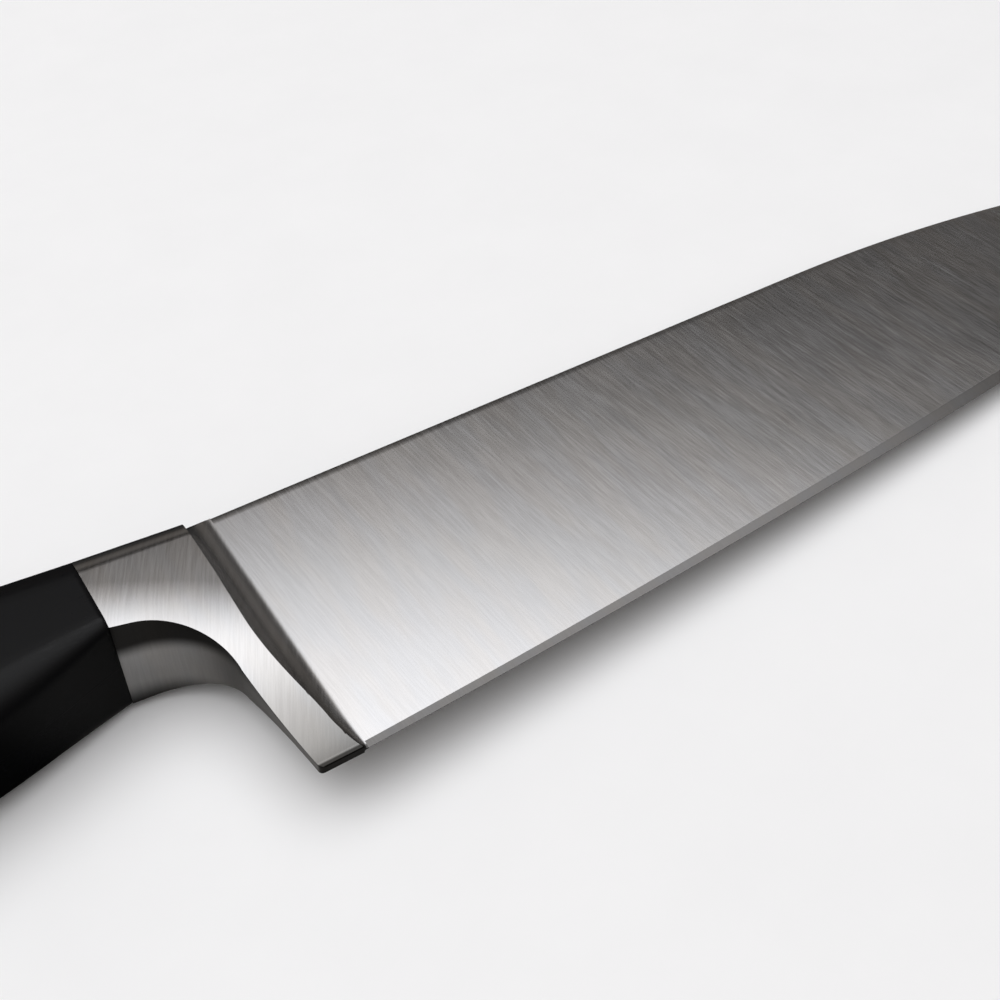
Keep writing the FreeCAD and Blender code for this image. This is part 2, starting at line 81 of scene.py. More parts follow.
SEAM_TOP = -0.9
FRONT_TOP = -2.75
NECK_X = -4.5
NECK_RUN = 3.5
NECK_DEPTH = 4.6
NECK_HALF = 5.0
NECK_SPREAD = (NECK_HALF - SPINE_HALF) / NECK_DEPTH
CROWN_RADIUS = 6.1
FOOT_X = -3.6
FOOT_CORNER = 0.8
LEG_X = -5.3
BOW_RADIUS = 11.05
BOW_DEPTH = 28.4
BOW_ANGLE = math.radians(10.2)
DOME_DEPTH = 8.0
DOME_RADIUS = 120.0
SHOULDER_DEPTH = 14.8
SHOULDER_RADIUS = 5.8
SHOULDER_ANGLE = math.radians(28.5)
LEG_RADIUS = 53.0
ROOT_RADIUS = 4.7
ROOT_SPLIT_DEPTH = 39.8
FOOT_ROOT_RADIUS = 0.25
ROOT_PAST_FOOT = 0.4
ROOT_END_TOP = 2.6
ROOT_END_FOOT = 2.7
FRONT_TURN = math.radians(80.0)

# Sections of the handle: x, top, bottom, half thickness, lower corner radius. The first
# bottom is worked out from the bolster's underside.
HANDLE_SECTIONS = [
    (SEAM_X, SEAM_TOP, None, BOLSTER_HALF, 1.6),
    (-23.5, -0.45, -19.4, 8.25, 3.2),
    (-36.5, 0.3, -23.5, 8.8, 5.2),
    (-58.0, 0.5, -25.6, 9.2, 6.4),
    (-90.0, -0.8, -23.8, 8.4, 6.0),
    (-118.0, -3.0, -26.4, 8.8, 6.0),
    (BUTT_X, -4.8, -27.2, 8.1, 6.0),
]
BUTT_ROUNDING = 5.0
LEAST_CORNER = 0.4  # smallest corner radius where the butt draws in

# Softened edges, which only these finer meshes have.
SPINE_EASE = 0.22
FOOT_EASE = 0.6  # height of the rounded lower edge of the foot
FOOT_EASE_IN = 0.3  # how far that edge draws the faces in
SEAM_EASE = 0.12
EDGE_BREAK = 0.16
EDGE_BREAK_SEGMENTS = 3
EDGE_BREAK_ANGLE = math.radians(32.0)  # sharper edges than this are broken

TOLERANCE = 1e-6


# ---------------------------------------------------------------- small helpers
def clamp(value, low, high):
    return max(low, min(high, value))


def smooth(value, low, high):
    t = clamp((value - low) / (high - low), 0.0, 1.0)
    return t * t * (3 - 2 * t)


def mix(a, b, t):
    return a + (b - a) * t


def fractions(steps):
    """From 0 to just below 1 in equal steps."""
    return [i / steps for i in range(steps)]


def make_piece(name, points, faces, material, sharp=()):
    """A mesh piece from points in millimetres; sharp is a set of vertex pairs."""
    mesh = bpy.data.meshes.new(name)
    mesh.from_pydata([Vector(p) * MM for p in points], [], faces)
    mesh.validate()
    mesh.update()
    for polygon in mesh.polygons:
        polygon.use_smooth = True
    wanted = {tuple(sorted(pair)) for pair in sharp}
    for edge in mesh.edges:
        if tuple(sorted(edge.vertices)) in wanted:
            edge.use_edge_sharp = True
    mesh.materials.append(material)
    piece = bpy.data.objects.new(name, mesh)
    bpy.context.scene.collection.objects.link(piece)
    return piece


def break_edges(piece):
    bevel = piece.modifiers.new("edge_break", "BEVEL")
    bevel.width = EDGE_BREAK * MM
    bevel.segments = EDGE_BREAK_SEGMENTS
    bevel.limit_method = "ANGLE"
    bevel.angle_limit = EDGE_BREAK_ANGLE
    bevel.harden_normals = False


def tube_faces(rings):
    """Faces between successive closed rings of equal length, and one over each end."""
    faces = []
    count = len(rings[0])
    for a, b in zip(rings, rings[1:]):
        for i in range(count):
            j = (i + 1) % count
            faces.append((a[i], b[i], b[j], a[j]))
    faces.append(tuple(rings[0]))
    faces.append(tuple(reversed(rings[-1])))
    return faces


# ---------------------------------------------------------------- blade
BLADE_STATIONS = 260
TIP_CROWDING = 1.35  # draws the stations towards the tip
TIP_CUT = 0.05  # length left off at the tip, where a ring would have no size
BEVEL_ROWS = 3
FACE_ROWS = 36
EASE_ROWS = 4
# Near the tip the ring gets small, so its parts keep to shares of its height or thickness.
LEAST_BEVEL_SHARE = 0.02
LEAST_FACE_SHARE = 0.3
EASE_HEIGHT_SHARE = 0.25
EASE_HALF_SHARE = 0.4
LAND_HALF_SHARE = 0.5


def spine_y(x):
    run = x - SPINE_STRAIGHT_X
    if run <= 0:
        return 0.0
    return -(SPINE_RADIUS - math.sqrt(SPINE_RADIUS ** 2 - run ** 2))


def edge_arcs():
    """Slope of the edge at the belly and radius of its curve from there to the tip."""
    run, rise = BELLY_X - JOINT_X, HEEL_DEPTH - BELLY_DEPTH
    slope = math.atan2(rise, run) + math.asin(math.hypot(run, rise) / (2 * EDGE_RADIUS))
    run, rise = TIP_X - BELLY_X, BELLY_DEPTH - TIP_DROP
    tip_radius = (run ** 2 + rise ** 2) / (2 * (math.cos(slope) * rise - math.sin(slope) * run))
    return slope, tip_radius


BELLY_SLOPE, TIP_RADIUS = edge_arcs()


def edge_y(x):
    radius = EDGE_RADIUS if x < BELLY_X else TIP_RADIUS
    centre_x = BELLY_X - radius * math.sin(BELLY_SLOPE)
    centre_y = -BELLY_DEPTH + radius * math.cos(BELLY_SLOPE)
    return centre_y - math.sqrt(radius ** 2 - (x - centre_x) ** 2)


def thinning(x):
    """How much thinner each face is than at the heel."""
    run = max(x - THINNING_X, 0.0)
    return THINNING_RADIUS - math.sqrt(THINNING_RADIUS ** 2 - run ** 2)


def blade_half(x, y):
    return SPINE_HALF + FACE_SLOPE * y - thinning(x)


def blade_ring(x):
    """Half section from the edge up to the spine, as (y, z) pairs."""
    low, high = edge_y(x), spine_y(x)
    height, top_half = high - low, blade_half(x, high)
    meeting = SPINE_HALF - thinning(x) - EDGE_LAND_HALF + low * BEVEL_SLOPE
    bevel_top = clamp(meeting / (BEVEL_SLOPE - FACE_SLOPE),
                      low + LEAST_BEVEL_SHARE * height, high - LEAST_FACE_SHARE * height)
    bevel_half = blade_half(x, bevel_top)
    ease = min(SPINE_EASE, EASE_HALF_SHARE * top_half, EASE_HEIGHT_SHARE * height)
    land = min(EDGE_LAND_HALF, LAND_HALF_SHARE * bevel_half)
    pairs = [(low, land)]
    for i in range(1, BEVEL_ROWS + 1):
        t = i / BEVEL_ROWS
        pairs.append((mix(low, bevel_top, t), mix(land, bevel_half, t)))
    for i in range(1, FACE_ROWS + 1):
        y = mix(bevel_top, high - ease, i / FACE_ROWS)
        pairs.append((y, blade_half(x, y)))
    for i in range(1, EASE_ROWS + 1):
        angle = math.pi / 2 * i / EASE_ROWS
        y = high - ease + ease * math.sin(angle)
        pairs.append((y, top_half - ease + ease * math.cos(angle)))
    return pairs


def make_blade(material):
    points, rings, sharp = [], [], []
    for i in range(BLADE_STATIONS + 1):
        t = 1 - (1 - i / BLADE_STATIONS) ** TIP_CROWDING
        x = mix(JOINT_X, TIP_X - TIP_CUT, t)
        half = blade_ring(x)
        outline = half + [(y, -z) for y, z in reversed(half)]
        rings.append(range(len(points), len(points) + len(outline)))
        points += [(x, y, z) for y, z in outline]
    count = len(rings[0])
    for a, b in zip(rings, rings[1:]):
        for k in (0, BEVEL_ROWS, count - 1, count - 1 - BEVEL_ROWS):
            sharp.append((a[k], b[k]))
    for ring in (rings[0], rings[-1]):
        for i in range(count):
            sharp.append((ring[i], ring[(i + 1) % count]))
    return make_piece("blade_body", points, tube_faces(rings), material, sharp)


# ---------------------------------------------------------------- bolster
COLLAR_DEPTH = 9.0  # down to here the rows fan out from the sloping top
COLLAR_ROWS = 30
COLLAR_CROWDING = 1.6  # draws the rows towards the top
WAIST_ROWS = 12  # between the collar and the underside at the seam
UNDERSIDE_STEPS = 5
BOW_STEPS = 28
LEG_STEPS = 16
FOOT_CORNER_STEPS = 6
SIDE_COLUMNS = 30
ROOT_COLUMNS = 18
WALL_STEPS = 8
LEAST_SIDE = 0.3  # the side and the hollow keep at least these widths in every row
LEAST_ROOT = 0.1
ARRIS_FROM_X = NECK_X - 3.0  # the arris is looked for between these two
ARRIS_TO_X = JOINT_X - 0.1
HALVINGS = 40


def block_top(x):
    return mix(SEAM_TOP, FRONT_TOP, (x - SEAM_X) / (JOINT_X - SEAM_X))


def neck_top(x):
    """The slope by which the spine comes out of the bolster's top."""
    if x < NECK_X:
        return -math.inf
    return min(0.0, FRONT_TOP * (1 - (x - NECK_X) / NECK_RUN))


def bolster_top(x):
    return max(block_top(x), neck_top(x))


def side_half(y):
    """Half thickness of the side: flat, slight dome, rounded shoulder, then the hollow leg."""
    if y >= -DOME_DEPTH:
        return BOLSTER_HALF
    if y >= -SHOULDER_DEPTH:
        return BOLSTER_HALF - DOME_RADIUS + math.sqrt(DOME_RADIUS ** 2 - (y + DOME_DEPTH) ** 2)
    dome_sine = (SHOULDER_DEPTH - DOME_DEPTH) / DOME_RADIUS
    dome_cosine = math.sqrt(1 - dome_sine ** 2)
    shoulder_z = BOLSTER_HALF - DOME_RADIUS * (1 - dome_cosine)
    waist = -SHOULDER_DEPTH - SHOULDER_RADIUS * (math.sin(SHOULDER_ANGLE) - dome_sine)
    if y >= waist:
        sine = dome_sine - (y + SHOULDER_DEPTH) / SHOULDER_RADIUS
        return shoulder_z - SHOULDER_RADIUS * (dome_cosine - math.sqrt(1 - sine ** 2))
    waist_z = shoulder_z - SHOULDER_RADIUS * (dome_cosine - math.cos(SHOULDER_ANGLE))
    centre_y = waist - LEG_RADIUS * math.sin(SHOULDER_ANGLE)
    centre_z = waist_z + LEG_RADIUS * math.cos(SHOULDER_ANGLE)
    return centre_z - math.sqrt(LEG_RADIUS ** 2 - (y - centre_y) ** 2)


def crown_half(x, y):
    """Half thickness allowed by the rounded top."""
    depth = block_top(x) - y
    if depth < -TOLERANCE:
        return 0.0
    if depth >= CROWN_RADIUS:
        return BOLSTER_HALF
    inner = BOLSTER_HALF - CROWN_RADIUS
    return inner + math.sqrt(max(CROWN_RADIUS ** 2 - (CROWN_RADIUS - depth) ** 2, 0.0))


def root_size(y):
    """Radius of the hollow in front of the bolster and where it runs out on the blade."""
    low = HEEL_DEPTH + ROOT_PAST_FOOT
    t = clamp((-y - ROOT_SPLIT_DEPTH) / (low - ROOT_SPLIT_DEPTH), 0.0, 1.0)
    return mix(ROOT_RADIUS, FOOT_ROOT_RADIUS, t), mix(ROOT_END_TOP, ROOT_END_FOOT, t)


def front_half(x, y):
    """Half thickness allowed by the bolster's front and the hollow at its root."""
    radius, end_x = root_size(y)
    floor = SPINE_HALF + FACE_SLOPE * y
    if x >= end_x:
        return floor
    reach = end_x - x
    wall_reach = radius * math.sin(FRONT_TURN)
    if reach <= wall_reach:
        return floor + radius - math.sqrt(radius ** 2 - reach ** 2)
    wall_z = floor + radius * (1 - math.cos(FRONT_TURN))
    return wall_z + (reach - wall_reach) * math.tan(FRONT_TURN)


def rear_outline():
    """The bolster's rear and underside from the seam down to the foot, as (x, y) pairs."""
    bow_x, foot_y = LEG_X - BOW_RADIUS, FOOT_CORNER - HEEL_DEPTH
    start_x = bow_x + BOW_RADIUS * math.sin(BOW_ANGLE)
    start_y = BOW_RADIUS * math.cos(BOW_ANGLE) - BOW_DEPTH
    seam_y = start_y + math.tan(BOW_ANGLE) * (start_x - SEAM_X)
    line = [(mix(SEAM_X, start_x, t), mix(seam_y, start_y, t)) for t in fractions(UNDERSIDE_STEPS)]
    for t in fractions(BOW_STEPS):
        angle = (math.pi / 2 - BOW_ANGLE) * (1 - t)
        line.append((bow_x + BOW_RADIUS * math.cos(angle), BOW_RADIUS * math.sin(angle) - BOW_DEPTH))
    for t in fractions(LEG_STEPS):
        line.append((mix(LEG_X, FOOT_X, t), mix(-BOW_DEPTH, foot_y, t)))
    for t in fractions(FOOT_CORNER_STEPS) + [1.0]:
        angle = math.pi / 2 * t
        line.append((FOOT_X + FOOT_CORNER * (1 - math.cos(angle)),
                     foot_y - FOOT_CORNER * math.sin(angle)))
    return line


def outer_half(x, y):
    """Half thickness allowed by the crown, or by the spine's root where that is wider."""
    half = crown_half(x, y)
    if x > NECK_X and y <= neck_top(x) + TOLERANCE:
        half = max(half, SPINE_HALF - NECK_SPREAD * y)
    return min(half, side_half(y))


def foot_ease(y):
    """How far the rounded lower edge of the foot draws the faces in."""
    rise = y + HEEL_DEPTH
    if rise >= FOOT_EASE:
        return 0.0
    return FOOT_EASE_IN * (1 - math.sqrt(max(1 - (1 - rise / FOOT_EASE) ** 2, 0.0)))


def body_half(x, y):
    half = min(outer_half(x, y), front_half(x, y))
    return max(half - foot_ease(y), EDGE_HALF - FOOT_EASE_IN / 2)


def arris_x(y_of):
    """Where the front meets the side along a row; y_of gives the row's y at any x."""
    low, high = ARRIS_FROM_X, ARRIS_TO_X
    if front_half(low, y_of(low)) <= outer_half(low, y_of(low)):
        return low
    for _ in range(HALVINGS):
        middle = (low + high) / 2
        y = y_of(middle)
        if front_half(middle, y) > outer_half(middle, y):
            low = middle
        else:
            high = middle
    return (low + high) / 2


def bolster_rows():
    """Every row as (x at the rear, function giving y at any x)."""
    rows = []
    for t in fractions(COLLAR_ROWS) + [1.0]:
        share = t ** COLLAR_CROWDING
        rows.append((SEAM_X, lambda x, share=share: mix(bolster_top(x), -COLLAR_DEPTH, share)))
    outline = rear_outline()
    seam_y = outline[0][1]
    waist = [(SEAM_X, mix(-COLLAR_DEPTH, seam_y, t)) for t in fractions(WAIST_ROWS)[1:]]
    for rear_x, y in waist + outline:
        rows.append((rear_x, lambda x, y=y: y))
    return rows


def bolster_row(rear_x, y_of):
    """Points of one row on the right-hand side, from the rear to the joint plane."""
    front_x = max(arris_x(y_of), rear_x + LEAST_SIDE)
    end_x = max(root_size(y_of(front_x))[1], front_x + LEAST_ROOT)
    xs = [mix(rear_x, front_x, t) for t in fractions(SIDE_COLUMNS)]
    xs += [mix(front_x, end_x, t) for t in fractions(ROOT_COLUMNS)]
    return [(x, y_of(x), body_half(x, y_of(x))) for x in xs + [end_x, JOINT_X]]


def make_bolster(material):
    rows, points = [], []
    for rear_x, y_of in bolster_rows():
        row = bolster_row(rear_x, y_of)
        rows.append(list(range(len(points), len(points) + len(row))))
        points += row
    offset = len(points)
    points += [(x, y, -z) for x, y, z in points]
    faces, sharp = [], []
    for a, b in zip(rows, rows[1:]):
        for i in range(len(a) - 1):
            faces.append((a[i], b[i], b[i + 1], a[i + 1]))
            faces.append(tuple(offset + k for k in (a[i], a[i + 1], b[i + 1], b[i])))
        arris = (a[SIDE_COLUMNS], b[SIDE_COLUMNS])
        sharp += [arris, (arris[0] + offset, arris[1] + offset)]
    rim = [row[0] for row in rows] + rows[-1][1:]
    rim += [row[-1] for row in reversed(rows[:-1])] + list(reversed(rows[0][1:-1]))
    add_walls(points, faces, sharp, rim, offset)
    return make_piece("bolster_body", points, faces, material, sharp)


def add_walls(points, faces, sharp, rim, offset):
    """Closes the rim between the right-hand and left-hand faces with a strip of quads."""
    strips = []
    for index in rim:
        x, y, z = points[index]
        strip = [index]
        for i in range(1, WALL_STEPS):
            strip.append(len(points))
            points.append((x, y, mix(z, -z, i / WALL_STEPS)))
        strip.append(index + offset)
        strips.append(strip)
    for a, b in zip(strips, strips[1:] + strips[:1]):
        for i in range(WALL_STEPS):
            faces.append((a[i], a[i + 1], b[i + 1], b[i]))
        sharp.append((a[0], b[0]))
        sharp.append((a[-1], b[-1]))


# ---------------------------------------------------------------- handle
HANDLE_STATIONS = 150
BUTT_STEPS = 10
TOP_STEPS = 3
CORNER_STEPS = 12
FLAT_STEPS = 8
BOTTOM_STEPS = 3


def spline(xs, ys):
    """Natural cubic through the points; xs fall."""
    last = len(xs) - 1
    step = [xs[i + 1] - xs[i] for i in range(last)]
    slope = [(ys[i + 1] - ys[i]) / step[i] for i in range(last)]
    bend, ratio, right = [0.0] * (last + 1), [0.0] * last, [0.0] * last
    for i in range(1, last):
        pivot = 2 * (xs[i + 1] - xs[i - 1]) - step[i - 1] * ratio[i - 1]
        ratio[i] = step[i] / pivot
        right[i] = (3 * (slope[i] - slope[i - 1]) - step[i - 1] * right[i - 1]) / pivot
    for i in range(last - 1, 0, -1):
        bend[i] = right[i] - ratio[i] * bend[i + 1]

    def at(x):
        k = 0
        while k < last - 1 and x < xs[k + 1]:
            k += 1
        run = x - xs[k]
        first = slope[k] - step[k] * (bend[k + 1] + 2 * bend[k]) / 3
        third = (bend[k + 1] - bend[k]) / (3 * step[k])
        return ys[k] + first * run + bend[k] * run ** 2 + third * run ** 3
    return at


def handle_ring(top, bottom, half, top_radius, low_radius):
    """The section as (y, z) pairs going round from the middle of the top."""
    path = [(top, (half - top_radius) * t) for t in fractions(TOP_STEPS)]
    quarter = [math.pi / 2 * t for t in fractions(CORNER_STEPS)]
    for a in quarter:
        path.append((top - top_radius + top_radius * math.cos(a),
                     half - top_radius + top_radius * math.sin(a)))
    for t in fractions(FLAT_STEPS):
        path.append((mix(top - top_radius, bottom + low_radius, t), half))
    for a in quarter:
        path.append((bottom + low_radius - low_radius * math.sin(a),
                     half - low_radius + low_radius * math.cos(a)))
    for t in fractions(BOTTOM_STEPS) + [1.0]:
        path.append((bottom, (half - low_radius) * (1 - t)))
    return path + [(y, -z) for y, z in reversed(path[1:-1])]


def handle_stations():
    """Where the rings stand, as (x, how far the ring is drawn in)."""
    stations = [(SEAM_X, SEAM_EASE), (SEAM_X - SEAM_EASE, 0.0)]
    for i in range(1, HANDLE_STATIONS + 1):
        stations.append((mix(SEAM_X, BUTT_X + BUTT_ROUNDING, i / HANDLE_STATIONS), 0.0))
    for i in range(1, BUTT_STEPS + 1):
        angle = math.pi / 2 * i / BUTT_STEPS
        stations.append((BUTT_X + BUTT_ROUNDING * (1 - math.sin(angle)),
                         BUTT_ROUNDING * (1 - math.cos(angle))))
    return stations


def make_handle(material):
    xs, tops, bottoms, halves, lows = [list(column) for column in zip(*HANDLE_SECTIONS)]
    bottoms[0] = rear_outline()[0][1]
    top, bottom, half, low = [spline(xs, ys) for ys in (tops, bottoms, halves, lows)]
    points, rings = [], []
    for x, inset in handle_stations():
        crown = max(CROWN_RADIUS - inset, LEAST_CORNER)
        corner = max(low(x) - inset, LEAST_CORNER)
        ring = handle_ring(top(x) - inset, bottom(x) + inset, half(x) - inset, crown, corner)
        rings.append(range(len(points), len(points) + len(ring)))
        points += [(x, y, z) for y, z in ring]
    return make_piece("handle_grip_body", points, tube_faces(rings), material)


# ---------------------------------------------------------------- materials
PLAIN = (1.0, 1.0, 1.0, 1.0)


class Nodes:
    """Short names for building a node tree."""

    def __init__(self, tree):
        self.tree = tree
        tree.nodes.clear()

    def add(self, kind, **values):
        node = self.tree.nodes.new(kind)
        for key, value in values.items():
            setattr(node, key, value)
        return node

    def link(self, source, target):
        self.tree.links.new(source, target)

    def feed(self, target, value):
        if hasattr(value, "is_output"):
            self.link(value, target)
        else:
            target.default_value = value

    def math(self, operation, a, b=0.0):
        node = self.add("ShaderNodeMath", operation=operation)
        self.feed(node.inputs[0], a)
        self.feed(node.inputs[1], b)
        return node.outputs[0]

    def times(self, a, b):
        return self.math("MULTIPLY", a, b)

    def plus(self, a, b):
        return self.math("ADD", a, b)

    def absolute(self, value):
        return self.math("ABSOLUTE", value)

    def vector(self, x, y, z):
        node = self.add("ShaderNodeCombineXYZ")
        for socket, value in zip(node.inputs, (x, y, z)):
            self.feed(socket, value)
        return node.outputs[0]

    def stretched(self, sockets, factors):
        """The three sockets, each times its factor, as a vector."""
        return self.vector(*[self.times(s, factor) for s, factor in zip(sockets, factors)])

    def parts(self, vector):
        node = self.add("ShaderNodeSeparateXYZ")
        self.link(vector, node.inputs[0])
        return node.outputs

    def noise(self, vector, detail=2.0, roughness=0.5, scale=1.0):
        node = self.add("ShaderNodeTexNoise")
        self.link(vector, node.inputs["Vector"])
        node.inputs["Scale"].default_value = scale
        node.inputs["Detail"].default_value = detail
        node.inputs["Roughness"].default_value = roughness
        return node.outputs["Fac"]

    def rise(self, value, low, high):
        """Goes smoothly from 0 at low to 1 at high."""
        node = self.add("ShaderNodeMapRange", interpolation_type="SMOOTHSTEP")
        self.feed(node.inputs["Value"], value)
        node.inputs["From Min"].default_value = low
        node.inputs["From Max"].default_value = high
        return node.outputs["Result"]

    def fall(self, value, low, high):
        """Goes smoothly from 1 at low to 0 at high."""
        return self.math("SUBTRACT", 1.0, self.rise(value, low, high))

    def blend(self, factor, a, b, kind="MIX"):
        node = self.add("ShaderNodeMix", data_type="RGBA", blend_type=kind)
        for name, value in (("Factor", factor), ("A", a), ("B", b)):
            self.feed(node.inputs[name], value)
        return node.outputs["Result"]

    def painted_shade(self, colour, mask, tint):
        """Painted shade: the colour times the darker tint where the mask is 1."""
        return self.blend(1.0, colour, self.blend(mask, PLAIN, tint), "MULTIPLY")

    def position(self):
        """Where the surface is in the row frame, in millimetres, as three sockets."""
        place = self.add("ShaderNodeTexCoord")
        scaled = self.add("ShaderNodeVectorMath", operation="SCALE")
        self.link(place.outputs["Object"], scaled.inputs[0])
        scaled.inputs["Scale"].default_value = 1 / MM
        return self.parts(scaled.outputs[0])

    def normal(self):
        return self.add("ShaderNodeNewGeometry").outputs["Normal"]

    def bump(self, height, strength, depth, normal=None):
        """The normal, tilted by the slopes of the height; depth is in millimetres."""
        node = self.add("ShaderNodeBump")
        node.inputs["Strength"].default_value = strength
        node.inputs["Distance"].default_value = depth * MM
        self.link(height, node.inputs["Height"])
        if normal is not None:
            self.link(normal, node.inputs["Normal"])
        return node.outputs["Normal"]


def new_material(name):
    """A material with one shader, the nodes it is built with, and the shader's inputs."""
    material = bpy.data.materials.new(name)
    material.use_nodes = True
    n = Nodes(material.node_tree)
    shader = n.add("ShaderNodeBsdfPrincipled")
    n.link(shader.outputs[0], n.add("ShaderNodeOutputMaterial").inputs["Surface"])
    return material, n, shader.inputs


# Satin steel is ground in one direction. A lean turns the grain away from the Y axis, in
# degrees. Lengths and places are in millimetres.
BLADE_LEAN = 4.0
BOLSTER_LEAN = -27.0
TANG_LEAN = 90.0
SATIN_GRAIN = 4.2  # grain lines per millimetre
ROLLED_GRAIN = 1.5
ANISOTROPY = 0.6
DARK_GRAIN = (0.945, 0.941, 0.937)
LIGHT_GRAIN = (1.05, 1.047, 1.045)
WARM_TINT = (1.0, 0.985, 0.975, 1.0)
COLD_TINT = (0.98, 0.985, 1.0, 1.0)

# Painted shade on the steel: the parts given a darker colour, and where each one fades
# out: along an axis, with the tilt of the surface (size of its normal's Z), or with its
# height over the blade's face.
EDGE_PAINTED_SHADE, EDGE_TILT = (0.24, 0.235, 0.23, 1.0), (0.975, 0.992)
FOOT_PAINTED_SHADE, FOOT_Y, FOOT_HEIGHT = (0.44, 0.435, 0.42, 1.0), (-42.0, -22.0), (0.02, 0.3)
FOOT_EDGE_PAINTED_SHADE, FOOT_EDGE_Y = (0.14, 0.137, 0.133, 1.0), (-44.75, -44.35)
UNDERSIDE_TILT = (0.2, 0.5)
RIM_PAINTED_SHADE, NEAR_RIM_Z, FAR_RIM_Z = (0.07, 0.068, 0.066, 1.0), (0.8, 3.4), (-7.5, -3.5)
LEG_PAINTED_SHADE, LEG_Y = (0.45, 0.44, 0.43, 1.0), (-26.0, -19.0)

# The bolster's ground sides: their normal's Y is kept from falling below a level, which
# rises up the collar at a slant. The hollow is told by its normal's X, or by X near the blade.
LEVEL_SLANT = 0.58
LEVEL_OFFSET = 19.5
LEVEL_PER_MM = 0.0088
LEVEL_MOST = 0.006
SIDE_TILT = (0.72, 0.86)
HOLLOW_NORMAL_X, HOLLOW_X = (0.02, 0.08), (1.9, 2.3)
SWEEP, SWEEP_X = 0.10, (2.0, 2.7)


def grind_direction(lean):
    """Unit vector across the grain, which is the way the sheen spreads."""
    return math.cos(math.radians(lean)), math.sin(math.radians(lean)), 0.0


def grind_marks(n, place, lean, per_mm):
    """Fine streaks along the grain, and the few deeper scratches among them."""
    x, y, z = place
    c, s, _ = grind_direction(lean)
    across = n.plus(n.times(x, c), n.times(y, s))
    along = n.plus(n.times(y, c), n.times(x, -s))

    def grain(density, length, detail):
        lines = n.stretched((across, along, z), (density, 1 / length, 1 / length))
        return n.noise(lines, detail, roughness=0.6)

    fine = grain(per_mm, length=5.0, detail=2.0)
    coarse = grain(per_mm * 0.35, length=16.0, detail=1.0)
    scratches = n.rise(grain(per_mm * 0.5, length=14.0, detail=0.0), 0.74, 0.86)
    return n.plus(n.times(fine, 0.7), n.times(coarse, 0.3)), scratches


def steel_colour(n, place, streaks, base):
    """Grey of the streaks, drifting slowly between a warm and a cold tint."""
    dark = tuple(base * level for level in DARK_GRAIN) + (1.0,)
    light = tuple(base * level for level in LIGHT_GRAIN) + (1.0,)
    colour = n.blend(n.rise(streaks, 0.33, 0.67), dark, light)
    drift = n.rise(n.noise(n.stretched(place, (0.22, 0.05, 0.1))), 0.38, 0.62)
    return n.blend(1.0, colour, n.blend(drift, WARM_TINT, COLD_TINT), "MULTIPLY")


def steel_roughness(n, place, streaks, scratches, level):
    cloud = n.noise(n.stretched(place, (0.05, 0.09, 0.05)), detail=3.0, roughness=0.55)
    rough = n.plus(n.times(n.plus(streaks, -0.5), 0.13), level)
    rough = n.plus(rough, n.times(n.plus(cloud, -0.5), 0.04))
    return n.plus(rough, n.times(scratches, 0.03))


def painted_edge_shade(n, colour, facing):
    """Painted shade: a darker colour on the sharpened strip and the spine, the parts of the blade
    that don't face along Z.
    """
    return n.painted_shade(colour, n.fall(n.absolute(facing[2]), *EDGE_TILT), EDGE_PAINTED_SHADE)


def painted_foot_shade(n, colour, place, facing):
    """Painted shade: a darker colour on the bolster's foot, its lower edge, and the underside with
    its rims.
    """
    _, y, z = place
    blade_face = n.plus(n.times(y, FACE_SLOPE), SPINE_HALF)
    proud = n.rise(n.math("SUBTRACT", n.absolute(z), blade_face), *FOOT_HEIGHT)
    # painted shade on the foot where it stands proud of the blade
    colour = n.painted_shade(colour, n.times(proud, n.fall(y, *FOOT_Y)), FOOT_PAINTED_SHADE)
    # painted shade along the foot's lower edge
    colour = n.painted_shade(colour, n.fall(y, *FOOT_EDGE_Y), FOOT_EDGE_PAINTED_SHADE)
    # painted shade on the underside's rims
    underside = n.fall(n.absolute(facing[2]), *UNDERSIDE_TILT)
    rims = n.math("MAXIMUM", n.rise(z, *NEAR_RIM_Z), n.fall(z, *FAR_RIM_Z))
    colour = n.painted_shade(colour, n.times(underside, rims), RIM_PAINTED_SHADE)
    # painted shade on the underside of the leg
    return n.painted_shade(colour, n.times(underside, n.fall(y, *LEG_Y)), LEG_PAINTED_SHADE)


def ground_normal(n, place, facing, hollow):
    """Normal of the hand-ground bolster: its sides stay flatter than the shape under them,
    and the hollow is shaded a little deeper at its blade side."""
    x, y, _ = place
    slanted = n.plus(y, n.plus(n.times(x, LEVEL_SLANT), LEVEL_OFFSET))
    level = n.math("MINIMUM", n.times(slanted, LEVEL_PER_MM), LEVEL_MOST)
    lift = n.math("SUBTRACT", n.math("MAXIMUM", facing[1], level), facing[1])
    side = n.times(n.rise(n.absolute(facing[2]), *SIDE_TILT), n.math("SUBTRACT", 1.0, hollow))
    sweep = n.times(n.times(n.fall(x, *SWEEP_X), SWEEP), hollow)
    moved = n.add("ShaderNodeVectorMath", operation="ADD")
    n.link(n.normal(), moved.inputs[0])
    n.link(n.vector(sweep, n.times(lift, side), 0.0), moved.inputs[1])
    unit = n.add("ShaderNodeVectorMath", operation="NORMALIZE")
    n.link(moved.outputs[0], unit.inputs[0])
    return unit.outputs[0]


